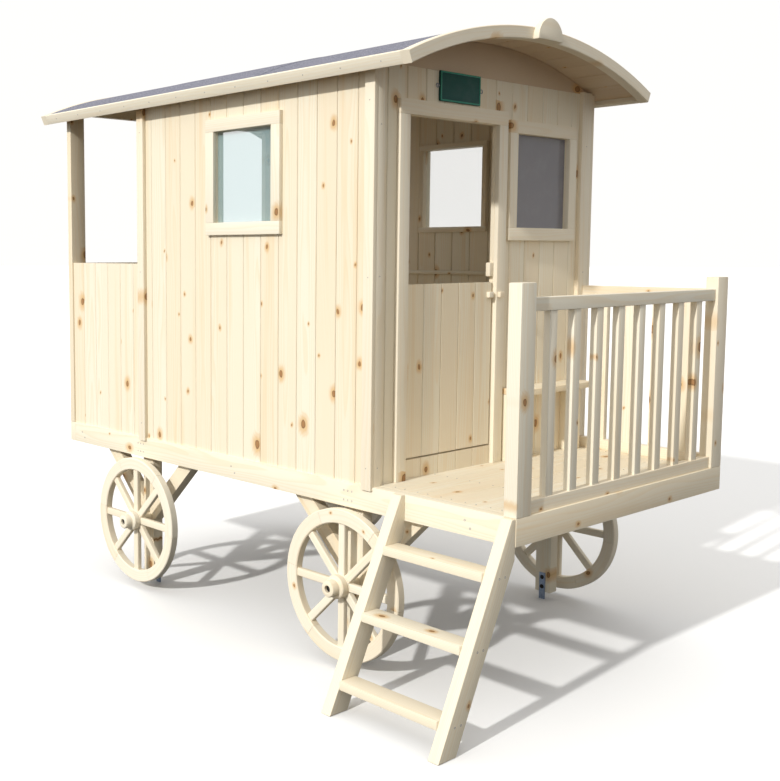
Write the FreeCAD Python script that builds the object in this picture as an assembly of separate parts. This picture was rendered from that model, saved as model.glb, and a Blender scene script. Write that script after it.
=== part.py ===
import FreeCAD, Part
import math
import os

# A child's wooden playhouse in the shape of a shepherds hut: a boarded cabin with a barrel roof
# stands on a chassis with legs and four fixed spoked wheels. A railed porch with a ladder is in
# front, and the rear bay is open above a parapet. Millimetres, +Z up. While the pieces are made,
# x = 0 is the centreline, y = 0 the front face of the porch and z = 0 the ground; every piece is
# then moved so that the origin is the middle of the footprint on the ground.
# "left" is the -X side, where the ladder is, and "right" the +X side.

os.makedirs("parts", exist_ok=True)

# ---- Chassis ----
chassis_width = 1200.0
chassis_length = 2355.0
rail_height = 82.0
rail_thick = 38.0
deck_thick = 20.0
joist_thick = 38.0
front_joist_gap = 132.0
rear_joist_gap = 66.0

# ---- Legs, braces and ground anchors ----
leg_thick = 45.0
leg_depth = 68.0
leg_foot = 28.0
rear_leg_gap = 534.0
brace_width = 60.0
brace_drop = 286.0
brace_angle = 45.0
anchor_width = 26.0
anchor_thick = 5.0
anchor_top = 106.0

# ---- Wheels ----
wheel_radius = 254.0
wheel_rim_depth = 47.5
wheel_thick = 32.0
wheel_rail_gap = 3.0
wheel_top_gap = 4.0
wheel_front_gap = 401.0
spoke_count = 8
spoke_width = 28.0
spoke_thick = 20.0
spoke_tenon = 12.0
nave_radius = 39.0
axle_radius = 24.0
hub_step_radius = 39.0
hub_step_length = 25.0
hub_nose_radius = 27.5
hub_nose_length = 32.0
hub_bore_radius = 12.0
hub_bore_depth = 24.0

# ---- Walls ----
board_thick = 18.0
trim_thick = 16.0
wall_inset = 6.0
porch_depth = 563.0
bay_depth = 535.0
parapet_top = 1324.0
arch_end_height = 3.0
rear_post_width = 70.0
rear_post_depth = 30.0
rear_wall_setback = 6.0
batten_size = 16.0
batten_height = 1276.0

# ---- Door ----
door_corner_gap = 154.0
door_width = 467.0
door_head = 1808.0
threshold_height = 64.0
door_leaf_height = 573.0
door_gap = 6.0
casing_width = 48.0
ledge_height = 60.0
ledge_thick = 16.0
ledge_end_gap = 36.0
door_latch_height = 1212.0
latch_width = 26.0
latch_height = 20.0
latch_thick = 14.0
latch_edge_gap = 4.0
stop_block_width = 20.0
stop_block_height = 48.0
stop_block_rise = 21.0

# ---- Door hinges ----
pin_radius = 3.0
pin_clearance = 0.05
knuckle_radius = 5.0
knuckle_length = 24.0
knuckle_gap = 0.4
hinge_wall_gap = 0.5
hinge_plate_thick = 2.5
hinge_plate_width = 28.0
hinge_end_gap = 150.0

# ---- Windows ----
window_frame_width = 45.0
inner_frame_width = 22.0
glass_thick = 4.0
front_frame_door_gap = 16.0
front_frame_corner_gap = 33.0
front_window_z = 1457.0
front_window_height = 330.0
side_window_y = 1026.0
side_window_z = 1477.0
side_window_width = 312.0
side_window_height = 328.0

# ---- Corner trims ----
side_trim_width = 42.0
trim_drop = 12.0
left_corner_board_width = 32.0
right_corner_board_width = 60.0

# ---- Roof ----
roof_radius = 1657.0
roof_apex = 2100.0
eave_overhang = 75.0
barge_depth = 40.0
barge_thick = 36.0
front_overhang = 207.0
rear_overhang = 88.0
roof_board_thick = 18.0
felt_thick = 3.0
felt_drop = 1.0
fascia_thick = 18.0
disc_radius = 69.0
disc_thick = 23.0
disc_drop = 38.0

# ---- Sign plate ----
sign_door_gap = 153.0
sign_z = 1864.0
sign_width = 210.0
sign_height = 98.0
sign_thick = 10.0

# ---- Porch railing and bench ----
porch_post_width = 70.0
porch_post_depth = 45.0
porch_post_height = 664.0
handrail_top = 622.0
handrail_height = 40.0
handrail_thick = 28.0
baluster_width = 36.0
baluster_thick = 23.0
front_baluster_count = 8
side_baluster_count = 4
side_rail_inset = 8.0
bench_door_gap = 11.0
bench_corner_gap = 70.0
bench_height = 264.0
bench_depth = 100.0
bench_thick = 22.0
bench_leg_width = 70.0
bench_leg_depth = 45.0

# ---- Ladder ----
ladder_lean = 0.49
ladder_top_width = 18.0
stringer_depth = 76.0
stringer_thick = 38.0
ladder_front_y = 2.0
ladder_width = 446.0
tread_thick = 28.0
tread_depth = 70.0
tread_nose = 11.0
first_tread_top = 100.0
tread_rise = 188.5
tread_count = 3

# ---- Worked out from the sizes above ----
half_width = chassis_width / 2
rail_bottom = leg_foot + 2 * wheel_radius + wheel_top_gap
deck_height = rail_bottom + rail_height
deck_bottom = deck_height - deck_thick
rail_inner = half_width - rail_thick
leg_inner = rail_inner - leg_thick
wall_outer = half_width - wall_inset
wall_inner = wall_outer - board_thick
trim_outer = wall_outer + trim_thick
front_leg_y = wheel_front_gap + wheel_radius
rear_leg_y = chassis_length - rear_leg_gap
bay_front = chassis_length - bay_depth
gable_face = porch_depth
gable_back = gable_face + board_thick
trim_face = gable_face - trim_thick
wheel_inner = half_width + wheel_rail_gap
wheel_outer = wheel_inner + wheel_thick
wheel_height = leg_foot + wheel_radius
hub_outer = wheel_outer + hub_step_length + hub_nose_length
roof_half_width = half_width + eave_overhang
roof_centre_z = roof_apex - roof_radius
felt_top_radius = roof_radius - felt_drop
roof_board_radius = felt_top_radius - felt_thick
soffit_radius = roof_board_radius - roof_board_thick
soffit_edge_z = roof_centre_z + math.sqrt(soffit_radius ** 2 - half_width ** 2)
gable_board_top = soffit_edge_z - arch_end_height
barge_inner_radius = roof_radius - barge_depth
eave_angle = math.degrees(math.asin(roof_half_width / roof_radius))
front_barge_face = gable_face - front_overhang
roof_front = front_barge_face + barge_thick
rear_barge_back = chassis_length + rear_overhang
roof_rear = rear_barge_back - barge_thick
threshold_top = deck_height + threshold_height
door_left_x = -wall_outer + door_corner_gap
door_right_x = door_left_x + door_width
leaf_left = door_left_x + door_gap
leaf_right = door_right_x - door_gap
leaf_bottom = threshold_top + door_gap
leaf_top = leaf_bottom + door_leaf_height
casing_right_x = door_right_x + casing_width
front_window_x = casing_right_x + front_frame_door_gap + window_frame_width
front_window_right_x = (wall_outer - right_corner_board_width - front_frame_corner_gap
                        - window_frame_width)
front_window_width = front_window_right_x - front_window_x
bench_left_x = casing_right_x + bench_door_gap
bench_right_x = half_width - bench_corner_gap
sign_x = door_left_x + sign_door_gap
ladder_foot_x = -half_width - ladder_top_width - ladder_lean * deck_height

# ---- Origin: the middle of the footprint, on the ground ----
origin_x = (ladder_foot_x + hub_outer) / 2
origin_y = rear_barge_back / 2


def box(x0, x1, y0, y1, z0, z1):
    return Part.makeBox(x1 - x0, y1 - y0, z1 - z0, FreeCAD.Vector(x0, y0, z0))


def cylinder_x(radius, x0, x1, y, z):
    start = FreeCAD.Vector(x0, y, z)
    return Part.makeCylinder(radius, x1 - x0, start, FreeCAD.Vector(1, 0, 0))


def cylinder_y(radius, y0, y1, x, z):
    start = FreeCAD.Vector(x, y0, z)
    return Part.makeCylinder(radius, y1 - y0, start, FreeCAD.Vector(0, 1, 0))


def cylinder_z(radius, z0, z1, x, y):
    return Part.makeCylinder(radius, z1 - z0, FreeCAD.Vector(x, y, z0))


def prism_xz(points, y0, y1):
    corners = [FreeCAD.Vector(x, y0, z) for x, z in points]
    face = Part.Face(Part.makePolygon(corners + corners[:1]))
    return face.extrude(FreeCAD.Vector(0, y1 - y0, 0))


def prism_yz(points, x0, x1):
    corners = [FreeCAD.Vector(x0, y, z) for y, z in points]
    face = Part.Face(Part.makePolygon(corners + corners[:1]))
    return face.extrude(FreeCAD.Vector(x1 - x0, 0, 0))


def mirrored(shape):
    return shape.mirror(FreeCAD.Vector(0, 0, 0), FreeCAD.Vector(1, 0, 0))


def both_sides(shapes):
    return shapes + [mirrored(shape) for shape in shapes]


def export(node, shapes):
    shape = shapes[0] if len(shapes) == 1 else Part.makeCompound(shapes)
    shape = shape.copy()
    shape.translate(FreeCAD.Vector(-origin_x, -origin_y, 0))
    shape.exportStep("parts/" + node + ".step")


def under_roof(shape):
    """What of a piece lies below the curved underside of the roof boards."""
    vault = cylinder_y(soffit_radius, -chassis_length, 2 * chassis_length, 0, roof_centre_z)
    return shape.common(vault)


def roof_arc(inner, outer, angle, y0, y1):
    """A curved board between two radii, as far as an angle each side of the top."""
    start = FreeCAD.Vector(0, y0, roof_centre_z)
    along = FreeCAD.Vector(0, 1, 0)
    solid = Part.makeCylinder(outer, y1 - y0, start, along, 2 * angle)
    solid = solid.cut(Part.makeCylinder(inner, y1 - y0, start, along, 360)).Solids[0]
    middle = solid.CenterOfMass
    turn = math.degrees(math.atan2(middle.x, middle.z - roof_centre_z))
    solid.rotate(start, along, -turn)
    return solid


# ================= Chassis =================

def make_chassis():
    rails = both_sides([box(rail_inner, half_width, rail_thick, chassis_length - rail_thick,
                            rail_bottom, deck_height)])
    export("chassis_rail_right", rails[:1])
    export("chassis_rail_left", rails[1:])
    export("chassis_rim_front", [box(-half_width, half_width, 0, rail_thick,
                                     rail_bottom, deck_height)])
    export("chassis_rim_rear", [box(-half_width, half_width, chassis_length - rail_thick,
                                    chassis_length, rail_bottom, deck_height)])
    export("deck_floor", [box(-rail_inner, rail_inner, rail_thick, chassis_length - rail_thick,
                              deck_bottom, deck_height)])
    joists = []
    middle_y = (front_leg_y + rear_leg_y) / 2
    rear_y = chassis_length - rail_thick - rear_joist_gap
    for y in (rail_thick + front_joist_gap, middle_y, rear_y):
        joists.append(box(-rail_inner, rail_inner, y - joist_thick / 2, y + joist_thick / 2,
                          rail_bottom, deck_bottom))
    export("floor_joists", joists)


def make_undercarriage():
    legs = []
    braces = []
    anchors = []
    slope = math.tan(math.radians(brace_angle))
    slant = brace_width / math.cos(math.radians(brace_angle)) / 2
    foot = deck_bottom - brace_drop
    near = (brace_drop - slant) / slope
    far = (brace_drop + slant) / slope
    for y in (front_leg_y, rear_leg_y):
        legs.append(box(leg_inner, rail_inner, y - leg_depth / 2, y + leg_depth / 2,
                        leg_foot, deck_bottom))
        anchors.append(box(leg_inner - anchor_thick, leg_inner, y - anchor_width / 2,
                           y + anchor_width / 2, 0, anchor_top))
        for way in (-1, 1):
            leg_side = y + way * leg_depth / 2
            outline = [(leg_side, foot - slant), (leg_side, foot + slant),
                       (leg_side + way * near, deck_bottom), (leg_side + way * far, deck_bottom)]
            braces.append(prism_yz(outline, leg_inner, rail_inner))
    export("legs", both_sides(legs))
    export("leg_braces", both_sides(braces))
    export("ground_anchors", both_sides(anchors))


def make_wheel(y):
    """Rim, spokes and nave of one wheel on the right side."""
    wheel = cylinder_x(wheel_radius, wheel_inner, wheel_outer, y, wheel_height)
    rim_inner = wheel_radius - wheel_rim_depth
    wheel = wheel.cut(cylinder_x(rim_inner, wheel_inner, wheel_outer, y, wheel_height))
    middle_x = (wheel_inner + wheel_outer) / 2
    for index in range(spoke_count):
        spoke = box(middle_x - spoke_thick / 2, middle_x + spoke_thick / 2,
                    y - spoke_width / 2, y + spoke_width / 2,
                    wheel_height, wheel_height + rim_inner + spoke_tenon)
        spoke.rotate(FreeCAD.Vector(middle_x, y, wheel_height), FreeCAD.Vector(1, 0, 0),
                     360.0 / spoke_count * index)
        wheel = wheel.fuse(spoke)
    nave = cylinder_x(nave_radius, wheel_inner, wheel_outer, y, wheel_height)
    return wheel.fuse(nave).removeSplitter()


def make_wheels():
    hubs = []
    axles = []
    for name, y in (("front", front_leg_y), ("rear", rear_leg_y)):
        wheel = make_wheel(y)
        export("wheel_" + name + "_right", [wheel])
        export("wheel_" + name + "_left", [mirrored(wheel)])
        step_end = wheel_outer + hub_step_length
        hub = cylinder_x(hub_step_radius, wheel_outer, step_end, y, wheel_height)
        hub = hub.fuse(cylinder_x(hub_nose_radius, step_end, hub_outer, y, wheel_height))
        hub = hub.cut(cylinder_x(hub_bore_radius, hub_outer - hub_bore_depth, hub_outer,
                                 y, wheel_height))
        hubs.append(hub)
        axles.append(cylinder_x(axle_radius, rail_inner, wheel_inner, y, wheel_height))
    export("wheel_hubs", both_sides(hubs))
    export("wheel_axles", both_sides(axles))


# ================= Walls =================

def window_ring(width, height, margin, thick):
    """A flat ring round a window hole, in its own x, z plane, with its back at y = 0."""
    ring = box(-margin, width + margin, -thick, 0, -margin, height + margin)
    return ring.cut(box(0, width, -thick, 0, 0, height))


def stand_on_side(shape, x, y, z):
    """Turns a piece made facing -Y to face +X, with its back on the wall face at x."""
    turned = shape.copy()
    turned.rotate(FreeCAD.Vector(0, 0, 0), FreeCAD.Vector(0, 0, 1), 90)
    turned.translate(FreeCAD.Vector(x, y, z))
    return turned


def make_side_walls():
    wall = box(wall_inner, wall_outer, gable_back, bay_front, deck_height, roof_apex)
    hole = box(wall_inner, wall_outer, side_window_y, side_window_y + side_window_width,
               side_window_z, side_window_z + side_window_height)
    wall = under_roof(wall.cut(hole))
    export("wall_right", [wall])
    export("wall_left", [mirrored(wall)])
    export("wall_battens", both_sides([box(wall_inner - batten_size, wall_inner, gable_back,
                                           bay_front, batten_height,
                                           batten_height + batten_size)]))


def make_front_wall():
    export("front_wall_left", [box(-wall_outer, door_left_x, gable_face, gable_back,
                                   deck_height, door_head)])
    wall = box(door_right_x, wall_outer, gable_face, gable_back, deck_height, door_head)
    hole = box(front_window_x, front_window_x + front_window_width, gable_face, gable_back,
               front_window_z, front_window_z + front_window_height)
    export("front_wall_right", [wall.cut(hole)])
    gable = box(-wall_outer, wall_outer, gable_face, gable_back, door_head, gable_board_top)
    export("front_gable", [under_roof(gable)])
    arch = box(-wall_outer, wall_outer, gable_face, gable_back, gable_board_top, roof_apex)
    export("front_gable_arch", [under_roof(arch)])


def make_rear_bay():
    post_front = chassis_length - rear_post_depth
    post_inner = half_width - rear_post_width
    export("bay_parapets", both_sides([box(wall_inner, wall_outer, bay_front, post_front,
                                           deck_height, parapet_top)]))
    wall_back = chassis_length - rear_wall_setback
    export("rear_parapet", [box(-post_inner, post_inner, wall_back - board_thick, wall_back,
                                deck_height, parapet_top)])
    post = box(post_inner, half_width, post_front, chassis_length, deck_height, gable_board_top)
    export("rear_posts", both_sides([under_roof(post)]))
    arch = box(-half_width, half_width, post_front, chassis_length, gable_board_top, roof_apex)
    export("rear_gable_arch", [under_roof(arch)])


def make_trims():
    strips = []
    for y0, y1 in ((trim_face, trim_face + side_trim_width),
                   (bay_front - side_trim_width, bay_front)):
        upright = box(wall_outer, trim_outer, y0, y1, deck_height, roof_apex)
        lip = box(half_width, trim_outer, y0, y1, deck_height - trim_drop, deck_height)
        strips.append(under_roof(upright).fuse(lip).removeSplitter())
    export("corner_trims", both_sides(strips))
    left = box(-wall_outer, -wall_outer + left_corner_board_width, trim_face, gable_face,
               deck_height, roof_apex)
    right = box(wall_outer - right_corner_board_width, wall_outer, trim_face, gable_face,
                deck_height, roof_apex)
    export("gable_corner_boards", [under_roof(left), under_roof(right)])


def make_windows():
    front_frame = window_ring(front_window_width, front_window_height, window_frame_width,
                              trim_thick)
    front_frame.translate(FreeCAD.Vector(front_window_x, gable_face, front_window_z))
    export("window_frame_front", [front_frame])
    side_ring = window_ring(side_window_width, side_window_height, window_frame_width, trim_thick)
    side_frame = stand_on_side(side_ring, wall_outer, side_window_y, side_window_z)
    export("window_frames_side", both_sides([side_frame]))

    front_inner = window_ring(front_window_width, front_window_height, inner_frame_width,
                              batten_size)
    front_inner.translate(FreeCAD.Vector(front_window_x, gable_back + batten_size,
                                         front_window_z))
    side_ring = window_ring(side_window_width, side_window_height, inner_frame_width, batten_size)
    side_inner = stand_on_side(side_ring, wall_inner - batten_size, side_window_y, side_window_z)
    export("window_inner_frames", [front_inner] + both_sides([side_inner]))

    glass_setback = (board_thick - glass_thick) / 2
    front_pane = box(front_window_x, front_window_x + front_window_width,
                     gable_face + glass_setback, gable_face + glass_setback + glass_thick,
                     front_window_z, front_window_z + front_window_height)
    side_pane = box(wall_inner + glass_setback, wall_inner + glass_setback + glass_thick,
                    side_window_y, side_window_y + side_window_width,
                    side_window_z, side_window_z + side_window_height)
    export("window_glass", [front_pane] + both_sides([side_pane]))


# ================= Door =================

def make_door_frame():
    export("door_threshold", [box(door_left_x, door_right_x, gable_face, gable_back,
                                  deck_height, threshold_top)])
    left = box(door_left_x - casing_width, door_left_x, trim_face, gable_face,
               deck_height, door_head)
    right = box(door_right_x, casing_right_x, trim_face, gable_face, deck_height, door_head)
    export("door_casing_sides", [left, right])
    export("door_casing_head", [box(door_left_x - casing_width, casing_right_x, trim_face,
                                    gable_face, door_head, door_head + casing_width)])
    keep_x = door_right_x + latch_edge_gap
    keep = box(keep_x, keep_x + latch_width, trim_face - latch_thick, trim_face,
               door_latch_height, door_latch_height + latch_height)
    stop_z = leaf_top + stop_block_rise
    stop = box(door_right_x - stop_block_width, door_right_x, gable_face, gable_back,
               stop_z, stop_z + stop_block_height)
    export("latch_keep_and_stop", [keep, stop])


def make_door():
    leaf = box(leaf_left, leaf_right, gable_face, gable_back, leaf_bottom, leaf_top)
    export("door_leaf", [leaf])
    ledges = []
    for z0 in (leaf_bottom + ledge_end_gap, leaf_top - ledge_end_gap - ledge_height):
        ledges.append(box(leaf_left + ledge_end_gap, leaf_right - ledge_end_gap, gable_back,
                          gable_back + ledge_thick, z0, z0 + ledge_height))
    export("door_ledges", ledges)
    latch_x = leaf_right - latch_edge_gap - latch_width
    export("door_latch", [box(latch_x, latch_x + latch_width, gable_face - latch_thick,
                              gable_face, door_latch_height, door_latch_height + latch_height)])


def make_hinges():
    """Two butt hinges behind the leaf: the pin halves on the wall, the barrels on the leaf."""
    axis_x = (door_left_x + leaf_left) / 2
    axis_y = gable_back + knuckle_radius + hinge_wall_gap
    plate_back = gable_back + hinge_plate_thick
    pins = []
    barrels = []
    for z in (leaf_bottom + hinge_end_gap, leaf_top - hinge_end_gap):
        half = knuckle_length / 2
        wall_plate_edge = axis_x - knuckle_radius - knuckle_gap
        pin_half = cylinder_z(pin_radius, z - 3 * half, z + 3 * half, axis_x, axis_y)
        pin_half = pin_half.fuse(box(wall_plate_edge - hinge_plate_width, wall_plate_edge,
                                     gable_back, plate_back, z - 3 * half, z + 3 * half))
        for z0, z1 in ((z - 3 * half, z - half - knuckle_gap),
                       (z + half + knuckle_gap, z + 3 * half)):
            pin_half = pin_half.fuse(cylinder_z(knuckle_radius, z0, z1, axis_x, axis_y))
            pin_half = pin_half.fuse(box(wall_plate_edge, axis_x, gable_back, plate_back, z0, z1))
        pins.append(pin_half.removeSplitter())
        leaf_plate_edge = axis_x + knuckle_radius + knuckle_gap
        barrel = cylinder_z(knuckle_radius, z - half, z + half, axis_x, axis_y)
        barrel = barrel.fuse(box(axis_x, leaf_plate_edge, gable_back, plate_back,
                                 z - half, z + half))
        barrel = barrel.fuse(box(leaf_plate_edge, leaf_plate_edge + hinge_plate_width,
                                 gable_back, plate_back, z - 3 * half, z + 3 * half))
        barrel = barrel.cut(cylinder_z(pin_radius + pin_clearance, z - half, z + half,
                                       axis_x, axis_y))
        barrels.append(barrel.removeSplitter())
    export("hinge_pins", pins)
    export("hinge_barrels", barrels)
    print("door hinge axis at x", axis_x - origin_x, "y", axis_y - origin_y)


# ================= Roof =================

def make_roof():
    fascia_angle = math.degrees(math.asin(fascia_thick / roof_radius))
    board_angle = eave_angle - fascia_angle
    export("roof_boards", [roof_arc(soffit_radius, roof_board_radius, board_angle,
                                    roof_front, roof_rear)])
    export("roof_felt", [roof_arc(roof_board_radius, felt_top_radius, board_angle,
                                  roof_front, roof_rear)])
    export("barge_front", [roof_arc(barge_inner_radius, roof_radius, eave_angle,
                                    front_barge_face, roof_front)])
    export("barge_rear", [roof_arc(barge_inner_radius, roof_radius, eave_angle,
                                   roof_rear, rear_barge_back)])
    whole = roof_arc(barge_inner_radius, roof_radius, eave_angle, roof_front, roof_rear)
    middle = roof_arc(barge_inner_radius / 2, 2 * roof_radius, board_angle, roof_front, roof_rear)
    export("eave_fascias", whole.cut(middle).Solids)
    disc_front = front_barge_face - disc_thick
    disc = cylinder_y(disc_radius, disc_front, front_barge_face, 0, roof_apex - disc_drop)
    below = cylinder_y(barge_inner_radius, disc_front, front_barge_face, 0, roof_centre_z)
    export("roof_disc", [disc.cut(below)])


def make_sign():
    export("sign_plate", [box(sign_x, sign_x + sign_width, gable_face - sign_thick, gable_face,
                              sign_z, sign_z + sign_height)])


# ================= Porch =================

def railing(length, count):
    """A railing in the x, z plane from x = 0, its front at y = 0 and its foot at z = 0."""
    shape = box(0, length, 0, handrail_thick, 0, handrail_height)
    shape = shape.fuse(box(0, length, 0, handrail_thick, handrail_top - handrail_height,
                           handrail_top))
    gap = (length - count * baluster_width) / (count + 1)
    inset = (handrail_thick - baluster_thick) / 2
    for index in range(count):
        x = gap + index * (gap + baluster_width)
        shape = shape.fuse(box(x, x + baluster_width, inset, inset + baluster_thick,
                               handrail_height, handrail_top - handrail_height))
    return shape.removeSplitter()


def make_porch():
    post_inner = half_width - porch_post_width
    export("porch_posts", both_sides([box(post_inner, half_width, 0, porch_post_depth,
                                          deck_height, deck_height + porch_post_height)]))
    front = railing(2 * post_inner, front_baluster_count)
    front_inset = (porch_post_depth - handrail_thick) / 2
    front.translate(FreeCAD.Vector(-post_inner, front_inset, deck_height))
    export("railing_front", [front])
    side = railing(trim_face - porch_post_depth, side_baluster_count)
    side.rotate(FreeCAD.Vector(0, 0, 0), FreeCAD.Vector(0, 0, 1), 90)
    side.translate(FreeCAD.Vector(half_width - side_rail_inset, porch_post_depth, deck_height))
    export("railing_side", [side])


def make_bench():
    seat_bottom = deck_height + bench_height - bench_thick
    export("bench_seat", [box(bench_left_x, bench_right_x, gable_face - bench_depth, gable_face,
                              seat_bottom, deck_height + bench_height)])
    legs = []
    for x in (bench_left_x, bench_right_x - bench_leg_width):
        legs.append(box(x, x + bench_leg_width, gable_face - bench_leg_depth, gable_face,
                        deck_height, seat_bottom))
    export("bench_legs", legs)


def make_ladder():
    plumb_foot = (-half_width - ladder_foot_x - stringer_depth) / ladder_lean
    outline = [(ladder_foot_x, 0), (ladder_foot_x + stringer_depth, 0),
               (-half_width, plumb_foot), (-half_width, deck_height),
               (-half_width - ladder_top_width, deck_height)]
    inner_y0 = ladder_front_y + stringer_thick
    inner_y1 = ladder_front_y + ladder_width - stringer_thick
    export("ladder_stringers", [prism_xz(outline, ladder_front_y, inner_y0),
                                prism_xz(outline, inner_y1, inner_y1 + stringer_thick)])
    treads = []
    for index in range(tread_count):
        top = first_tread_top + index * tread_rise
        nose_x = ladder_foot_x + ladder_lean * top - tread_nose
        treads.append(box(nose_x, nose_x + tread_depth, inner_y0, inner_y1,
                          top - tread_thick, top))
    export("ladder_treads", treads)


make_chassis()
make_undercarriage()
make_wheels()
make_side_walls()
make_front_wall()
make_rear_bay()
make_trims()
make_windows()
make_door_frame()
make_door()
make_hinges()
make_roof()
make_sign()
make_porch()
make_bench()
make_ladder()
print("origin at x", origin_x, "y", origin_y)
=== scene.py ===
import math
import random

import bmesh
import bpy
from mathutils import Matrix, Vector


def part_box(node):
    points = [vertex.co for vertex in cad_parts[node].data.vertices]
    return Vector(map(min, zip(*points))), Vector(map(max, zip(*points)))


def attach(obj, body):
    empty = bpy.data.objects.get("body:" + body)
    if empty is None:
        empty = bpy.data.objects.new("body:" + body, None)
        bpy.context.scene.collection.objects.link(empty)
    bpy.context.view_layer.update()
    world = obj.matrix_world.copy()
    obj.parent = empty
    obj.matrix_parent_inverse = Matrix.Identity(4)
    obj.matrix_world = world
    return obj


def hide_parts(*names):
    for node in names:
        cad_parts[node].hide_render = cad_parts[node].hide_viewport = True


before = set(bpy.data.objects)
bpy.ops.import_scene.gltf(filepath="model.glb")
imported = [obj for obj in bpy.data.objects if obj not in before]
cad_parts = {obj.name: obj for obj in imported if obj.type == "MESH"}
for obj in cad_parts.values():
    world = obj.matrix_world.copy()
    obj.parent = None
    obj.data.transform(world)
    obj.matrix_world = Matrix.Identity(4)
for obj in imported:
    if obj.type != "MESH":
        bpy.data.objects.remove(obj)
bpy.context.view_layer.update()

# The looks of a wooden playhouse shaped as a shepherds hut. Metres, in the CAD model's frame.
# Every plank, post and panel is rebuilt as eased timber with its own grain, in the place that
# its CAD node holds.

# ---- Sizes that the CAD model's boxes do not say by themselves ----
BOARD_PITCH = 0.0925
BOARD_CHAMFER = 0.0022
BOARD_GAP = 0.0016
TONGUE_THICK = 0.005
EASED_EDGE = 0.0018
SIDE_FIRST_GROOVE = 0.051
BAY_FIRST_GROOVE = 0.054
GABLE_FIRST_GROOVE = 0.062
DECK_FIRST_GROOVE = 0.075
ROOF_RADIUS = 1.657
BARGE_DEPTH = 0.040
ROOF_BOARD_THICK = 0.018
FELT_THICK = 0.003
FASCIA_THICK = 0.018
BRACE_WIDTH = 0.060
WINDOW_FRAME_WIDTH = 0.045
INNER_FRAME_WIDTH = 0.022
WHEEL_RIM_DEPTH = 0.0475
SPOKE_COUNT = 8
SPOKE_WIDTH = 0.028
SPOKE_THICK = 0.020
FELLOE_COUNT = 6
FELLOE_START = math.radians(24)
HUB_STEP_LENGTH = 0.025
HUB_NOSE_RADIUS = 0.0275
HUB_BORE_RADIUS = 0.012
HUB_BORE_DEPTH = 0.024
HANDRAIL_HEIGHT = 0.040
BALUSTER_WIDTH = 0.036
BALUSTER_THICK = 0.023
FRONT_BALUSTERS = 8
SIDE_BALUSTERS = 4
STRINGER_DEPTH = 0.076
STRINGER_LEAN = 0.49
SCREW_RADIUS = 0.0028
SCREW_SIDES = 12
NARROWEST_BOARD = 0.004
TONGUE_HALF_WIDTH = 0.004
TONGUE_END_GAP = 0.001
REAR_FIRST_GROOVE = 0.068
DECK_HALF_GAP = 0.0004
DECK_SCREW_INSET = 0.022
DECK_SCREW_SPACING = 0.28
SPOKE_INNER_END = 0.030
SPOKE_TENON = 0.004
NAVE_RADIUS = 0.039
ANCHOR_BOLT_HEIGHTS = (0.050, 0.088)
FASCIA_SCREWS = 12
FASCIA_SCREW_INSET = 0.08
FELT_STRIPS = 3
FELT_LAP = 0.06
FELT_NAILS = 26
DOOR_BOARDS = 5

# ---- Pine: knot cells per metre, knot sizes in cells, growth rings per metre ----
KNOT_CELLS_ALONG = 5.4
KNOT_CELLS_ACROSS = 7.6
KNOT_LEAST_SIZE = 0.020
KNOT_SIZE_SPREAD = 0.075
RINGS_PER_METRE = 230.0

WOOD, METAL = 0, 1
# Tone that turns the tongues in the board joints dark: painted shade in the gaps between boards.
JOINT_SHADE_TONE = 2.0


# ================= Reading the frame =================

def solids_of(node):
    """(lowest corner, highest corner) of each separate solid in a CAD node, left to right."""
    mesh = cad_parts[node].data
    leader = {}

    def find(key):
        while leader[key] != key:
            key = leader[key]
        return key

    def key_of(index):
        return tuple(round(value, 5) for value in mesh.vertices[index].co)

    for polygon in mesh.polygons:
        keys = [key_of(index) for index in polygon.vertices]
        for key in keys:
            leader.setdefault(key, key)
        for key in keys[1:]:
            leader[find(key)] = find(keys[0])
    groups = {}
    for key in leader:
        groups.setdefault(find(key), []).append(key)
    boxes = []
    for points in groups.values():
        boxes.append((Vector(map(min, zip(*points))), Vector(map(max, zip(*points)))))
    return sorted(boxes, key=lambda pair: tuple(pair[0]))


def middle(lo, hi):
    return (lo + hi) / 2


rim_lo, rim_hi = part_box("chassis_rim_front")
CENTRE_X = middle(rim_lo, rim_hi).x
DECK_TOP = rim_hi.z
barge_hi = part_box("barge_front")[1]
ROOF_CENTRE_Z = barge_hi.z - ROOF_RADIUS
SOFFIT_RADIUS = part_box("roof_boards")[1].z - ROOF_CENTRE_Z - ROOF_BOARD_THICK
EAVE_ANGLE = math.asin((barge_hi.x - CENTRE_X) / ROOF_RADIUS)


def soffit_height(x):
    """Height of the underside of the roof boards over a place x."""
    return ROOF_CENTRE_Z + math.sqrt(SOFFIT_RADIUS ** 2 - (x - CENTRE_X) ** 2)


# ================= Materials =================

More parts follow.
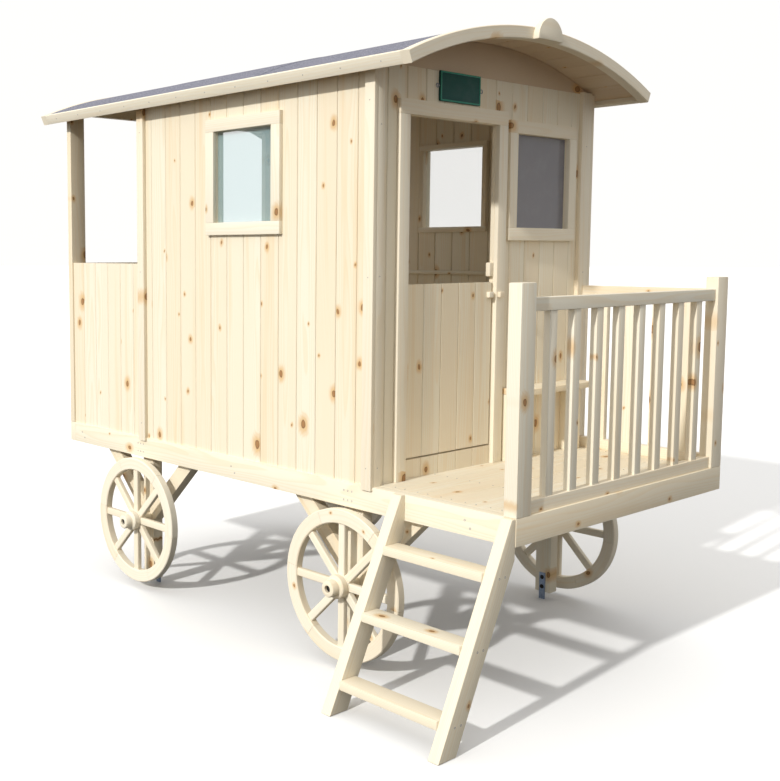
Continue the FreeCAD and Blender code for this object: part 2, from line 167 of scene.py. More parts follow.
class Shader:
    """A small helper to lay out and link shader nodes."""

    def __init__(self, name, **values):
        self.material = bpy.data.materials.new(name)
        self.material.use_nodes = True
        self.tree = self.material.node_tree
        self.tree.nodes.clear()
        self.output = self.tree.nodes.new("ShaderNodeOutputMaterial")
        self.surface = self.tree.nodes.new("ShaderNodeBsdfPrincipled")
        self.tree.links.new(self.surface.outputs["BSDF"], self.output.inputs["Surface"])
        for socket, value in values.items():
            self.surface.inputs[socket.replace("_", " ")].default_value = value

    def feed(self, socket, value):
        if isinstance(value, bpy.types.NodeSocket):
            self.tree.links.new(value, socket)
        else:
            socket.default_value = value

    def node(self, kind, settings=(), inputs=()):
        made = self.tree.nodes.new("ShaderNode" + kind)
        for name, value in dict(settings).items():
            setattr(made, name, value)
        for name, value in dict(inputs).items():
            self.feed(made.inputs[name], value)
        return made

    def math(self, operation, *values):
        return self.node("Math", {"operation": operation}, dict(enumerate(values))).outputs[0]

    def ramp(self, value, low, high, start=0.0, end=1.0):
        """Smooth step from start at low to end at high."""
        inputs = {"Value": value, "From Min": low, "From Max": high, "To Min": start, "To Max": end}
        settings = {"interpolation_type": "SMOOTHSTEP"}
        return self.node("MapRange", settings, inputs).outputs["Result"]

    def mix(self, factor, first, second, blend="MIX"):
        made = self.node("Mix", {"data_type": "RGBA", "blend_type": blend})
        self.feed(made.inputs[0], factor)
        self.feed(made.inputs[6], first)
        self.feed(made.inputs[7], second)
        return made.outputs[2]

    def scaled(self, vector, scale):
        made = self.node("VectorMath", {"operation": "MULTIPLY"}, {0: vector, 1: scale})
        return made.outputs[0]

    def noise(self, vector, scale=1.0, detail=3.0, roughness=0.5):
        inputs = {"Vector": vector, "Scale": scale, "Detail": detail, "Roughness": roughness}
        return self.node("TexNoise", {}, inputs).outputs["Fac"]

    def bump(self, height, strength, distance):
        inputs = {"Height": height, "Strength": strength, "Distance": distance}
        made = self.node("Bump", {}, inputs)
        self.tree.links.new(made.outputs["Normal"], self.surface.inputs["Normal"])


def pine_material(name, pale, honey, knottiness):
    """Planed untreated pine: growth rings about a pith beside the board, honey coloured streaks,
    and knots with a dark rim and an orange halo. It reads each board's own grain coordinates."""
    s = Shader(name)
    grain = s.node("Attribute", {"attribute_name": "grain"}).outputs["Vector"]
    tone = s.node("Attribute", {"attribute_name": "tone"}).outputs["Fac"]
    axes = s.node("SeparateXYZ", {}, {0: grain})
    along, across, through = axes.outputs

    # Knots: a random few of the cells along a board hold one.
    wobble = s.noise(s.scaled(grain, (30.0, 60.0, 60.0)), 1.0, 2.0)
    cell_x = s.math("MULTIPLY_ADD", along, KNOT_CELLS_ALONG, s.math("MULTIPLY", wobble, 0.09))
    cell_y = s.math("MULTIPLY", across, KNOT_CELLS_ACROSS)
    flat = s.node("CombineXYZ", {}, {0: cell_x, 1: cell_y}).outputs[0]
    cells = s.node("TexVoronoi", {"voronoi_dimensions": "2D"}, {"Vector": flat, "Scale": 1.0})
    chance = s.node("SeparateColor", {}, {0: cells.outputs["Color"]})
    exists = s.math("LESS_THAN", chance.outputs[0], knottiness)
    size = s.math("MULTIPLY_ADD", s.math("POWER", chance.outputs[1], 2.2), KNOT_SIZE_SPREAD,
                  KNOT_LEAST_SIZE)
    reach = s.math("DIVIDE", cells.outputs["Distance"], size)
    knot = s.math("MULTIPLY", s.ramp(reach, 1.05, 0.8), exists)
    rim = s.math("MULTIPLY", s.ramp(reach, 0.55, 0.95), knot)
    halo = s.math("MULTIPLY", s.ramp(reach, 3.4, 0.8), exists)

    # Growth rings, which bend round the knots.
    pith = s.node("CombineXYZ", {}, {1: across, 2: through})
    radius = s.node("VectorMath", {"operation": "LENGTH"}, {0: pith.outputs[0]}).outputs["Value"]
    wander = s.noise(s.scaled(grain, (1.1, 10.0, 10.0)), 1.0, 2.0)
    radius = s.math("ADD", radius, s.math("MULTIPLY", wander, 0.030))
    radius = s.math("ADD", radius, s.math("MULTIPLY", halo, 0.009))
    ring = s.math("FRACT", s.math("MULTIPLY", radius, RINGS_PER_METRE))
    late = s.math("MULTIPLY", s.ramp(ring, 0.35, 0.9), s.ramp(ring, 1.0, 0.93))

    streak = s.ramp(s.noise(s.scaled(grain, (0.9, 24.0, 24.0)), 1.0, 3.0), 0.54, 0.74)
    fibre = s.noise(s.scaled(grain, (26.0, 700.0, 700.0)), 1.0, 2.0, 0.6)
    cloud = s.noise(s.scaled(grain, (2.0, 7.0, 7.0)), 1.0, 2.0)

    late_tint = [channel * share for channel, share in zip(honey[:3], (1.03, 1.08, 1.15))] + [1.0]
    colour = s.mix(s.math("MULTIPLY", late, 0.34), pale, late_tint)
    colour = s.mix(s.math("MULTIPLY", streak, 0.42), colour, honey)
    colour = s.mix(s.ramp(tone, 0.0, 1.0, 0.0, 0.26), colour, honey)
    colour = s.mix(s.ramp(cloud, 0.35, 0.75, 0.0, 0.10), colour, (0.90, 0.80, 0.68, 1.0))
    colour = s.mix(s.ramp(fibre, 0.3, 0.8, 0.0, 0.10), colour, late_tint)
    colour = s.mix(s.math("MULTIPLY", halo, 0.70), colour, (0.62, 0.36, 0.11, 1.0))
    heart = s.mix(rim, (0.33, 0.165, 0.06, 1.0), (0.09, 0.042, 0.016, 1.0))
    colour = s.mix(s.math("MULTIPLY", knot, 0.95), colour, heart)
    # Tongues carry a tone above 1.4 and turn dark grey brown: painted shade deep in the board joints.
    colour = s.mix(s.ramp(tone, 1.4, 1.8, 0.0, 0.8), colour, (0.16, 0.125, 0.09, 1.0))
    s.tree.links.new(colour, s.surface.inputs["Base Color"])
    s.tree.links.new(s.ramp(fibre, 0.2, 0.8, 0.52, 0.70), s.surface.inputs["Roughness"])
    relief = s.math("ADD", s.math("MULTIPLY", late, 0.5), s.math("MULTIPLY", fibre, 0.5))
    s.bump(s.math("SUBTRACT", relief, s.math("MULTIPLY", rim, 0.8)), 0.22, 0.0006)
    s.surface.inputs["Specular IOR Level"].default_value = 0.35
    return s.material


def felt_material():
    """Mineral roofing felt: blue grey slate granules in bitumen."""
    s = Shader("slate_felt", Roughness=0.92)
    place = s.node("TexCoord").outputs["Object"]
    grit = s.noise(place, 620.0, 2.0, 0.8)
    mottle = s.noise(place, 9.0, 4.0, 0.6)
    flecks = s.node("TexVoronoi", {}, {"Vector": place, "Scale": 420.0})
    shade = s.mix(s.ramp(grit, 0.35, 0.68), (0.085, 0.088, 0.122, 1.0), (0.245, 0.25, 0.305, 1.0))
    fleck = s.node("SeparateColor", {}, {0: flecks.outputs["Color"]}).outputs[0]
    shade = s.mix(s.ramp(fleck, 0.86, 0.95, 0.0, 0.7), shade, (0.46, 0.47, 0.54, 1.0))
    shade = s.mix(s.ramp(mottle, 0.35, 0.7, 0.0, 0.35), shade, (0.20, 0.19, 0.25, 1.0))
    s.tree.links.new(shade, s.surface.inputs["Base Color"])
    s.bump(s.math("ADD", grit, s.math("MULTIPLY", fleck, 0.6)), 0.55, 0.0012)
    return s.material


def steel_material(name, dark, light, metal):
    """Zinc coated steel with a faint crystal pattern and scuffs."""
    s = Shader(name, Metallic=metal)
    place = s.node("TexCoord").outputs["Object"]
    crystals = s.node("TexVoronoi", {}, {"Vector": place, "Scale": 160.0})
    crystal = s.node("SeparateColor", {}, {0: crystals.outputs["Color"]}).outputs[0]
    scuff = s.noise(place, 45.0, 5.0, 0.7)
    shade = s.mix(crystal, dark, light)
    shade = s.mix(s.ramp(scuff, 0.55, 0.75, 0.0, 0.5), shade, dark)
    s.tree.links.new(shade, s.surface.inputs["Base Color"])
    s.tree.links.new(s.ramp(scuff, 0.3, 0.7, 0.34, 0.58), s.surface.inputs["Roughness"])
    s.bump(crystal, 0.08, 0.0004)
    return s.material


def painted_material(name, colour, worn):
    """Satin paint on a plate, with brush marks and slightly worn patches."""
    s = Shader(name)
    place = s.node("TexCoord").outputs["Object"]
    brush = s.noise(s.scaled(place, (12.0, 400.0, 400.0)), 1.0, 3.0, 0.6)
    patch = s.noise(place, 38.0, 4.0, 0.6)
    shade = s.mix(s.ramp(brush, 0.3, 0.75, 0.0, 0.35), colour, worn)
    shade = s.mix(s.ramp(patch, 0.58, 0.78, 0.0, 0.4), shade, worn)
    s.tree.links.new(shade, s.surface.inputs["Base Color"])
    s.tree.links.new(s.ramp(patch, 0.3, 0.7, 0.46, 0.62), s.surface.inputs["Roughness"])
    s.surface.inputs["Specular IOR Level"].default_value = 0.2
    s.bump(brush, 0.10, 0.0004)
    return s.material


def pane_material(name, tint, alpha):
    """A thin tinted acrylic pane with faint dust."""
    s = Shader(name, Metallic=0.0, Alpha=alpha)
    place = s.node("TexCoord").outputs["Object"]
    dust = s.noise(place, 14.0, 4.0, 0.6)
    shade = s.mix(s.ramp(dust, 0.45, 0.8, 0.0, 0.06), tint, (0.75, 0.78, 0.80, 1.0))
    s.tree.links.new(shade, s.surface.inputs["Base Color"])
    s.tree.links.new(s.ramp(dust, 0.3, 0.8, 0.03, 0.16), s.surface.inputs["Roughness"])
    return s.material


pine = pine_material("pale_pine", (0.80, 0.745, 0.605, 1.0), (0.73, 0.545, 0.315, 1.0), 0.52)
clear_pine = pine_material("clear_pine", (0.81, 0.755, 0.625, 1.0), (0.75, 0.59, 0.38, 1.0), 0.30)
knotty_pine = pine_material("knotty_pine", (0.80, 0.755, 0.635, 1.0), (0.73, 0.56, 0.34, 1.0), 0.95)
# A darker, browner copy of the pine for the roof boards and the front arch board: painted shade under the
# roof's overhang.
painted_shade_pine = pine_material("painted_shade_pine", (0.62, 0.49, 0.35, 1.0), (0.54, 0.38, 0.23, 1.0), 0.45)
screw_zinc = steel_material("screw_zinc", (0.16, 0.16, 0.17, 1.0), (0.34, 0.34, 0.36, 1.0), 0.7)
galvanised = steel_material("galvanised", (0.17, 0.22, 0.32, 1.0), (0.23, 0.29, 0.39, 1.0), 0.45)
slate_felt = felt_material()
sign_green = painted_material("sign_green", (0.004, 0.050, 0.042, 1.0), (0.008, 0.078, 0.066, 1.0))
sign_border = painted_material("sign_border", (0.045, 0.25, 0.18, 1.0), (0.08, 0.32, 0.24, 1.0))
bore_black = painted_material("bore_black", (0.010, 0.009, 0.008, 1.0), (0.02, 0.018, 0.016, 1.0))
side_pane = pane_material("side_pane", (0.42, 0.62, 0.65, 1.0), 0.27)
# A lighter, clearer copy of the pane for the far side window: painted light that makes up for the shade it
# stands in.
far_pane_painted_light = pane_material("far_pane_painted_light", (0.70, 0.90, 0.93, 1.0), 0.12)
# A darker, more opaque copy of the pane for the front window: painted shade.
front_pane_painted_shade = pane_material("front_pane_painted_shade", (0.27, 0.275, 0.32, 1.0), 0.60)


# ================= Timber =================

class Timber:
    """One mesh of boards and posts. Each board carries its own grain coordinates in metres
    (along, across and through), shifted so that each shows another part of a tree."""

    def __init__(self):
        self.points = []
        self.faces = []
        self.slots = []
        self.grain = []
        self.tone = []

    def add(self, points, grain, faces, seed, slot=WOOD, tone=None):
        draw = random.Random(seed)
        side = draw.choice((-1, 1))
        shift = Vector((draw.uniform(-40, 40), draw.uniform(-0.07, 0.07),
                        side * draw.uniform(0.03, 0.11)))
        tone = draw.random() if tone is None else tone
        base = len(self.points)
        self.points += [tuple(point) for point in points]
        self.grain += [tuple(Vector(place) + shift) for place in grain]
        self.tone += [tone] * len(points)
        self.faces += [[base + index for index in face] for face in faces]
        self.slots += [slot] * len(faces)

    def solid(self, bm, place, seed, slot=WOOD):
        """Adds a bmesh that was made in board axes: x along the grain, y across, z through."""
        bm.verts.index_update()
        local = [vertex.co.copy() for vertex in bm.verts]
        faces = [[vertex.index for vertex in face.verts] for face in bm.faces]
        bm.free()
        self.add([place @ point for point in local], local, faces, seed, slot)

    def screw(self, centre, normal, radius=SCREW_RADIUS):
        """A countersunk screw head: a shallow dish with a raised lip."""
        normal = Vector(normal).normalized()
        turn = normal.to_track_quat("Z", "Y").to_matrix().to_4x4()
        place = Matrix.Translation(centre) @ turn
        rings = ((radius, -0.0010), (radius, 0.0005), (radius * 0.75, 0.0005), (radius * 0.45, -0.0004))
        points = []
        for ring_radius, height in rings:
            for index in range(SCREW_SIDES):
                angle = 2 * math.pi * index / SCREW_SIDES
                points.append(Vector((ring_radius * math.cos(angle),
                                      ring_radius * math.sin(angle), height)))
        faces = []
        for ring in range(len(rings) - 1):
            for index in range(SCREW_SIDES):
                after = (index + 1) % SCREW_SIDES
                low, high = ring * SCREW_SIDES, (ring + 1) * SCREW_SIDES
                faces.append([low + index, low + after, high + after, high + index])
        last = (len(rings) - 1) * SCREW_SIDES
        faces.append([last + index for index in range(SCREW_SIDES)])
        self.add([place @ point for point in points], points, faces, 0, METAL)

    def piece(self, name, body, slot, nodes, wood=None):
        mesh = bpy.data.meshes.new(name)
        mesh.from_pydata(self.points, [], self.faces)
        mesh.materials.append(wood or pine)
        if METAL in self.slots:
            mesh.materials.append(screw_zinc)
        mesh.polygons.foreach_set("material_index", self.slots)
        grain = mesh.attributes.new("grain", "FLOAT_VECTOR", "POINT")
        grain.data.foreach_set("vector", [value for place in self.grain for value in place])
        tone = mesh.attributes.new("tone", "FLOAT", "POINT")
        tone.data.foreach_set("value", self.tone)
        mesh.shade_smooth()
        mesh.set_sharp_from_angle(angle=math.radians(32))
        return place_piece(bpy.data.objects.new(name, mesh), body, nodes)


def place_piece(piece, body, nodes):
    bpy.context.scene.collection.objects.link(piece)
    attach(piece, body)
    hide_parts(*nodes)
    return piece


def seed_of(*words):
    """The same whole number for the same words on every run."""
    return sum((index + 3) * 131 ** (index % 5) * sum(map(ord, str(word)))
               for index, word in enumerate(words)) % 1000003


def prism(outline, thick):
    """A bmesh plate from an outline in board axes, its middle plane at z = 0."""
    bm = bmesh.new()
    face = bm.faces.new([bm.verts.new((x, y, -thick / 2)) for x, y in outline])
    made = bmesh.ops.extrude_face_region(bm, geom=[face])["geom"]
    top = [item for item in made if isinstance(item, bmesh.types.BMVert)]
    bmesh.ops.translate(bm, verts=top, vec=(0, 0, thick))
    bmesh.ops.recalc_face_normals(bm, faces=bm.faces)
    return bm


def ease(bm, width, segments=2, wanted=None):
    """Rounds the sharp edges of a plate, or those of them that are wanted."""
    edges = [edge for edge in bm.edges if edge.calc_face_angle(0) > math.radians(25)]
    if wanted:
        edges = [edge for edge in edges if wanted(edge)]
    bmesh.ops.bevel(bm, geom=edges, offset=width, offset_type="OFFSET", segments=segments,
                    profile=0.6, affect="EDGES", clamp_overlap=True)
    return bm


def axes_matrix(first, last):
    """Matrix from board axes to the frame, for the directions of the grain and of the thickness."""
    return Matrix((first, last.cross(first), last)).transposed().to_4x4()


def board_axes(along, thin):
    """The same for a board whose grain and thickness lie along the frame's own axes."""
    unit = Matrix.Identity(3)
    return axes_matrix(unit["XYZ".index(along)], unit["XYZ".index(thin)])


def upright_place(y):
    """For a plate that stands across the hut at a place y, its outline in (x from the middle, z)."""
    turn = Matrix(((1, 0, 0), (0, 0, -1), (0, 1, 0))).to_4x4()
    return Matrix.Translation(Vector((CENTRE_X, y, 0))) @ turn


def bar(timber, lo, hi, along, seed, edge=EASED_EDGE, segments=2, place=Matrix()):
    """One eased timber that fills a box, with its grain along one axis. place tilts it."""
    sizes = {axis: hi[index] - lo[index] for index, axis in enumerate("XYZ") if axis != along}
    thin = min(sizes, key=sizes.get)
    turn = board_axes(along, thin)
    centre = middle(lo, hi)
    index = "XYZ".index(along)
    start, end = lo[index], hi[index]
    width = max(sizes.values())
    centre[index] = 0
    outline = [(start, -width / 2), (end, -width / 2), (end, width / 2), (start, width / 2)]
    bm = ease(prism(outline, sizes[thin]), edge, segments)
    timber.solid(bm, place @ Matrix.Translation(centre) @ turn, seed)


def bars(name, node, along, slot="pine", body="hut", wood=None, edge=EASED_EDGE, screws=None):
    """A piece of eased timbers in place of a node's boxes."""
    timber = Timber()
    for number, (lo, hi) in enumerate(solids_of(node)):
        bar(timber, lo, hi, along, seed_of(name, number), edge)
        if screws:
            screws(timber, lo, hi)
    return timber.piece(name, body, slot, [node], wood)


# ================= Boarded panels =================

def cut_board(left, right, low, high, hole):
    """Outlines in (height, place) of one board, less a window hole (left, right, low, high)."""
    whole = [[(low, left), (high, left), (high, right), (low, right)]]
    if not hole or right <= hole[0] or left >= hole[1]:
        return whole
    if left >= hole[0] and right <= hole[1]:
        return [[(low, left), (hole[2], left), (hole[2], right), (low, right)],
                [(hole[3], left), (high, left), (high, right), (hole[3], right)]]
    if left < hole[0]:
        return [[(low, left), (high, left), (high, right), (hole[3], right), (hole[3], hole[0]),
                 (hole[2], hole[0]), (hole[2], right), (low, right)]]
    return [[(low, left), (hole[2], left), (hole[2], hole[1]), (hole[3], hole[1]),
             (hole[3], left), (high, left), (high, right), (low, right)]]


def tongue(timber, lo, hi, axis, place, low, high):
    """The tongue deep in the joint of two boards, coloured dark as painted shade in the gap."""
    thin = 1 - axis
    corners = []
    for z in (low, high):
        for side, depth in ((-1, -1), (1, -1), (1, 1), (-1, 1)):
            point = Vector((0, 0, z))
            point[axis] = place + side * TONGUE_HALF_WIDTH
            point[thin] = (lo[thin] + hi[thin]) / 2 + depth * TONGUE_THICK / 2
            corners.append(point)
    faces = [[0, 1, 5, 4], [1, 2, 6, 5], [2, 3, 7, 6], [3, 0, 4, 7], [3, 2, 1, 0], [4, 5, 6, 7]]
    timber.add(corners, corners, faces, 0, WOOD, JOINT_SHADE_TONE)


def boards(timber, lo, hi, across, first_groove, name, hole=None, top=None, pitch=BOARD_PITCH):
    """Upright tongue and groove boards that fill a slab, with a V joint on both faces."""
    thin = "Y" if across == "X" else "X"
    turn = board_axes("Z", thin)
    flip = turn.col[1]["XYZ".index(across)]
    index, thin_index = "XYZ".index(across), "XYZ".index(thin)
    start, end = lo[index], hi[index]
    seams = [start]
    place = first_groove - pitch * math.floor((first_groove - start) / pitch)
    while place < end - NARROWEST_BOARD:
        if place > start + NARROWEST_BOARD:
            seams.append(place)
        place += pitch
    seams.append(end)
    high = hi.z if top is None else top
    for place in seams[1:-1]:
        spans = [(lo.z, high)]
        if hole and hole[0] - TONGUE_END_GAP < place < hole[1] + TONGUE_END_GAP:
            spans = [(lo.z, hole[2]), (hole[3], high)]
        for z0, z1 in spans:
            tongue(timber, lo, hi, index, place, z0 + TONGUE_END_GAP, z1 - TONGUE_END_GAP)
    for left, right in zip(seams, seams[1:]):
        left += BOARD_GAP / 2 if left > start else 0
        right -= BOARD_GAP / 2 if right < end else 0
        cell = math.floor(((left + right) / 2 - first_groove) / pitch)
        shift = Vector((0, 0, 0))
        shift[index] = first_groove + (cell + 0.5) * pitch
        shift[thin_index] = (lo[thin_index] + hi[thin_index]) / 2
        for outline in cut_board(left, right, lo.z, high, hole):
            local = [(z, (y - shift[index]) * flip) for z, y in outline]
            edge_low, edge_high = (left - shift[index]) * flip, (right - shift[index]) * flip

            def on_side(edge):
                a, b = edge.verts
                upright = abs(a.co.y - b.co.y) < 1e-6 and abs(a.co.z - b.co.z) < 1e-6
                return upright and min(abs(a.co.y - edge_low), abs(a.co.y - edge_high)) < 1e-5

            bm = ease(prism(local, hi[thin_index] - lo[thin_index]), BOARD_CHAMFER, 1, on_side)
            timber.solid(bm, Matrix.Translation(shift) @ turn, seed_of(name, cell))


# ================= Chassis and undercarriage =================

def rail_screws(timber, lo, hi):
    """Groups of six screws through each rail's outer face, where legs and joists are held."""
    outer = hi.x if hi.x > CENTRE_X else lo.x
    way = 1 if outer > CENTRE_X else -1
    for y in sorted(set(round(middle(*box).y, 4) for box in solids_of("legs"))):
        for column in (-0.018, 0.0, 0.018):
            for row in (0.022, 0.054):
                timber.screw((outer, y + column, lo.z + row), (way, 0, 0), 0.0031)
    for y in sorted(set(round(middle(*box).y, 4) for box in solids_of("floor_joists"))):
        for column, row in ((-0.010, 0.024), (0.010, 0.046)):
            timber.screw((outer, y + column, lo.z + row), (way, 0, 0), 0.0034)


def make_chassis():
    for side in ("left", "right"):
        bars("long_rail_" + side, "chassis_rail_" + side, "Y", screws=rail_screws)

    for end in ("front", "rear"):
        bars("end_rim_" + end, "chassis_rim_" + end, "X", edge=0.0025)
    bars("joists", "floor_joists", "X")

    timber = Timber()
    lo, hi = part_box("deck_floor")
    place = lo.y
    number = 0
    step = DECK_FIRST_GROOVE
    while place < hi.y - 0.01:
        end = min(place + step, hi.y)
        low = Vector((lo.x, place + DECK_HALF_GAP, lo.z))
        high = Vector((hi.x, end - DECK_HALF_GAP, hi.z))
        bar(timber, low, high, "X", seed_of("deck", number), 0.0012, 1)
        for x in (lo.x + DECK_SCREW_INSET, CENTRE_X - DECK_SCREW_SPACING,
                  CENTRE_X + DECK_SCREW_SPACING, hi.x - DECK_SCREW_INSET):
            for y in (place + 0.02, end - 0.02):
                timber.screw((x, y, hi.z), (0, 0, 1), 0.0022)
        place = end
        step = BOARD_PITCH
        number += 1
    timber.piece("deck_boards", "hut", "pine", ["deck_floor"])


def make_braces():
    """Braces that lean 45 degrees out from the legs, with their ends cut plumb and level."""
    timber = Timber()
    half = BRACE_WIDTH / 2
    slant = half * math.sqrt(2)
    legs = solids_of("legs")
    for number, (lo, hi) in enumerate(solids_of("leg_braces")):
        leg_y = min((middle(*leg).y for leg in legs), key=lambda y: abs(y - middle(lo, hi).y))
        way = 1 if middle(lo, hi).y > leg_y else -1
        foot = Vector((middle(lo, hi).x, lo.y if way > 0 else hi.y, lo.z + slant))
        length = (hi.y - lo.y - slant) * math.sqrt(2)
        outline = [(-half, half), (length + half, half), (length - half, -half), (half, -half)]
        turn = axes_matrix(Vector((0, way, 1)).normalized(), Vector((1, 0, 0)))
        sign = -1 if turn.col[1].z > 0 else 1
        local = [(x, y * sign) for x, y in outline]
        place = Matrix.Translation(foot) @ turn
        bm = ease(prism(local, hi.x - lo.x), EASED_EDGE)
        timber.solid(bm, place, seed_of("brace", number))
    timber.piece("braces", "hut", "pine", ["leg_braces"])


def swept_ring(timber, profile, start, end, steps, place, seed, slot=WOOD):
    """A profile of (radius, through) points turned about the ring's own z axis. Board axes run
    round the ring, so the grain follows the curve."""
    mean = sum(radius for radius, _ in profile) / len(profile)
    closed = end - start > 2 * math.pi - 1e-6
    count = steps if closed else steps + 1
    points, grain = [], []
    for step in range(count):
        angle = start + (end - start) * step / steps
        for radius, through in profile:
            points.append(place @ Vector((radius * math.cos(angle), radius * math.sin(angle), through)))
            grain.append((angle * mean, radius - mean, through))
    size = len(profile)
    faces = []
    for step in range(steps):
        low, high = step * size, ((step + 1) % count) * size
        for index in range(size):
            after = (index + 1) % size
            faces.append([low + index, low + after, high + after, high + index])
    if not closed:
        faces.append(list(range(size)))
        faces.append([steps * size + index for index in reversed(range(size))])
    timber.add(points, grain, faces, seed, slot)


def eased_section(inner, outer, low, high, edge):
    """A rectangle of radius and height with small cut corners."""
    return [(inner + edge, low), (outer - edge, low), (outer, low + edge), (outer, high - edge),
            (outer - edge, high), (inner + edge, high), (inner, high - edge), (inner, low + edge)]


def lathe(timber, profile, place, seed, steps=48, slot=WOOD):
    """A turned shape: profile points (radius, height) from one end to the other."""
    points, grain, faces = [], [], []
    for step in range(steps):
        angle = 2 * math.pi * step / steps
        for radius, height in profile:
            local = Vector((radius * math.cos(angle), radius * math.sin(angle), height))
            points.append(place @ local)
            grain.append((local.z, local.x, local.y))
    size = len(profile)
    for step in range(steps):
        low, high = step * size, ((step + 1) % steps) * size
        for index in range(size - 1):
            faces.append([low + index, high + index, high + index + 1, low + index + 1])
    faces.append([step * size for step in range(steps)])
    faces.append([step * size + size - 1 for step in reversed(range(steps))])
    timber.add(points, grain, faces, seed, slot)


def make_wheel(node):
    lo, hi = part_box(node)
    centre = middle(lo, hi)
    radius = (hi.z - lo.z) / 2
    thick = hi.x - lo.x
    # The ring's own axes: x up the frame's +Z, y along +Y, and its axis along -X.
    turn = Matrix(((0, 0, -1), (0, 1, 0), (1, 0, 0))).to_4x4()
    place = Matrix.Translation(centre) @ turn
    timber = Timber()
    section = eased_section(radius - WHEEL_RIM_DEPTH, radius, -thick / 2, thick / 2, 0.003)
    for felloe in range(FELLOE_COUNT):
        start = FELLOE_START + 2 * math.pi * felloe / FELLOE_COUNT
        gap = 0.0005 / radius
        swept_ring(timber, section, start + gap, start + 2 * math.pi / FELLOE_COUNT - gap, 16,
                   place, seed_of(node, felloe))
    for spoke in range(SPOKE_COUNT):
        angle = 2 * math.pi * spoke / SPOKE_COUNT
        half, end = SPOKE_WIDTH / 2, radius - WHEEL_RIM_DEPTH + SPOKE_TENON
        outline = [(SPOKE_INNER_END, -half), (end, -half), (end, half), (SPOKE_INNER_END, half)]
        bm = ease(prism(outline, SPOKE_THICK), 0.005, 3)
        timber.solid(bm, place @ Matrix.Rotation(angle, 4, "Z"), seed_of(node, "spoke", spoke))
    nave = NAVE_RADIUS
    profile = [(nave - 0.003, -thick / 2), (nave, -thick / 2 + 0.003), (nave, thick / 2 - 0.003),
               (nave - 0.003, thick / 2)]
    lathe(timber, profile, place, seed_of(node, "nave"))
    timber.piece(node.replace("wheel", "spoked_wheel"), "hut", "pine", [node], clear_pine)


def make_hubs():
    timber = Timber()
    for number, (lo, hi) in enumerate(solids_of("wheel_hubs")):
        way = 1 if middle(lo, hi).x > CENTRE_X else -1
        start = lo.x if way > 0 else hi.x
        length = hi.x - lo.x
        radius = (hi.z - lo.z) / 2
        centre = Vector((start, middle(lo, hi).y, middle(lo, hi).z))
        place = Matrix.Translation(centre) @ Matrix.Rotation(way * math.pi / 2, 4, "Y")
        nose = HUB_NOSE_RADIUS
        profile = [(radius - 0.002, 0.0), (radius, 0.002), (radius, HUB_STEP_LENGTH - 0.004),
                   (radius - 0.004, HUB_STEP_LENGTH), (nose + 0.003, HUB_STEP_LENGTH),
                   (nose, HUB_STEP_LENGTH + 0.003), (nose, length - 0.005),
                   (nose - 0.002, length - 0.0015), (nose - 0.005, length),
                   (HUB_BORE_RADIUS + 0.001, length), (HUB_BORE_RADIUS, length - 0.001),
                   (HUB_BORE_RADIUS, length - HUB_BORE_DEPTH)]
        lathe(timber, profile, place, seed_of("hub", number))
        pin_profile = [(HUB_BORE_RADIUS - 0.0005, length - HUB_BORE_DEPTH + 0.001),
                       (HUB_BORE_RADIUS - 0.0005, length - 0.010),
                       (HUB_BORE_RADIUS - 0.0025, length - 0.008)]
        lathe(timber, pin_profile, place, 0, 24, METAL)
    piece = timber.piece("turned_hubs", "hut", "pine", ["wheel_hubs"], clear_pine)
    piece.data.materials[METAL] = bore_black


def make_axles():
    timber = Timber()
    for number, (lo, hi) in enumerate(solids_of("wheel_axles")):
        radius = (hi.z - lo.z) / 2
        place = Matrix.Translation(Vector((lo.x, middle(lo, hi).y, middle(lo, hi).z)))
        place = place @ Matrix.Rotation(math.pi / 2, 4, "Y")
        length = hi.x - lo.x
        profile = [(radius - 0.001, 0), (radius, 0.001), (radius, length - 0.001), (radius - 0.001, length)]
        lathe(timber, profile, place, seed_of("axle", number))
    timber.piece("axle_stubs", "hut", "pine", ["wheel_axles"])


def make_anchors():
    """Flat steel anchors on the inner faces of the legs, each with two bolts."""
    steel = Timber()
    for lo, hi in solids_of("ground_anchors"):
        bar(steel, lo, hi, "Z", 0, 0.0008, 2)
        inner = lo.x if lo.x > CENTRE_X else hi.x
        way = -1 if lo.x > CENTRE_X else 1
        for height in ANCHOR_BOLT_HEIGHTS:
            centre = (inner, middle(lo, hi).y, height)
            turn = Matrix.Rotation(way * math.pi / 2, 4, "Y")
            place = Matrix.Translation(centre) @ turn
            lathe(steel, [(0.0085, 0), (0.0085, 0.001), (0.0078, 0.0016)], place, 0, 24, METAL)
            lathe(steel, [(0.0062, 0.0016), (0.0062, 0.0050), (0.0050, 0.0058)], place, 0, 6, METAL)
    piece = steel.piece("steel_anchors", "hut", "galvanised_steel", ["ground_anchors"], galvanised)
    piece.data.materials[METAL] = bore_black


# ================= Walls =================

def hole_of(pane, across):
    index = "XYZ".index(across)
    return (pane[0][index], pane[1][index], pane[0].z, pane[1].z)


